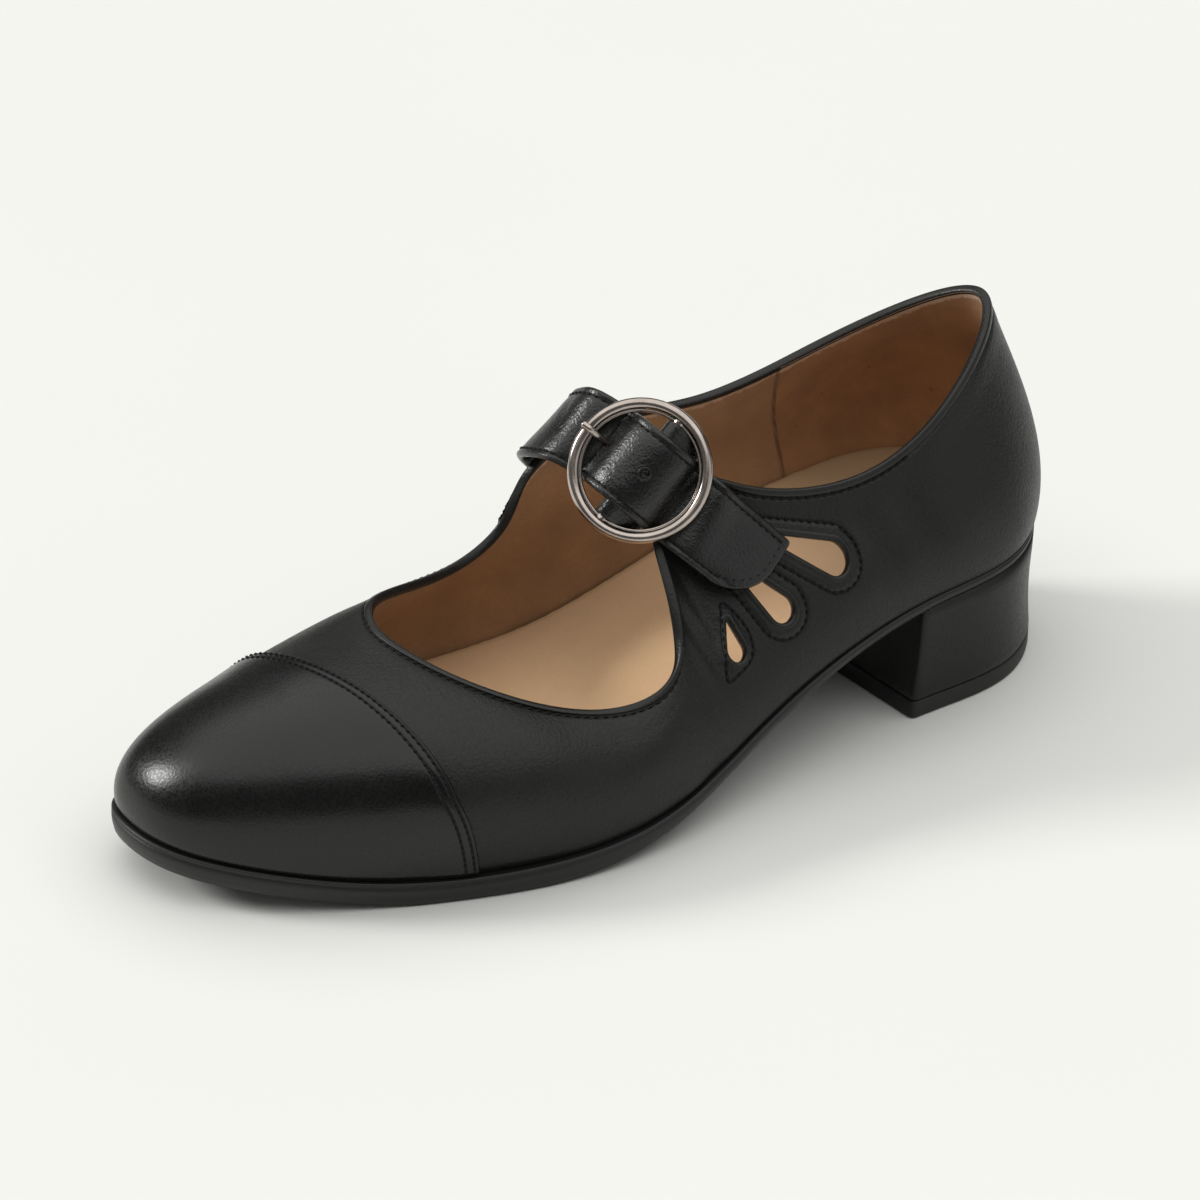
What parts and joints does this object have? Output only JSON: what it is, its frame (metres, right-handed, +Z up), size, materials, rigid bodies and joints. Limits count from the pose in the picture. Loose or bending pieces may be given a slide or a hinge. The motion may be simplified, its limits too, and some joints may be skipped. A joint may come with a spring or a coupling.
{
  "type": "mary jane pump",
  "caption": "Round-toed leather pump with a toe cap, teardrop cut-outs at the outer waist, an instep strap with a round buckle, and a low block heel.",
  "frame": {"origin": "centre of the footprint's bounding box, on the floor", "axes": "+X along the shoe to the toe, +Y to the wearer's left (the outer side, where the buckle is), +Z up"},
  "size_m": [0.2558, 0.0972, 0.0949],
  "materials": {
    "black_leather": "smooth black calf with a soft sheen",
    "black_rubber": "satin black",
    "heel_leather": "black leather-covered block",
    "tan_leather": "matt light tan sock leather",
    "satin_nickel": "satin nickel"
  },
  "bodies": {
    "root": {"upper": "black_leather", "toe_cap": "black_leather", "outsole": "black_rubber", "insole": "tan_leather", "heel": "heel_leather", "heel_top_piece": "black_rubber", "strap": "black_leather", "buckle_frame": "satin_nickel", "buckle_prong": "satin_nickel", "buckle_tab": "black_leather"}
  },
  "joints": []
}
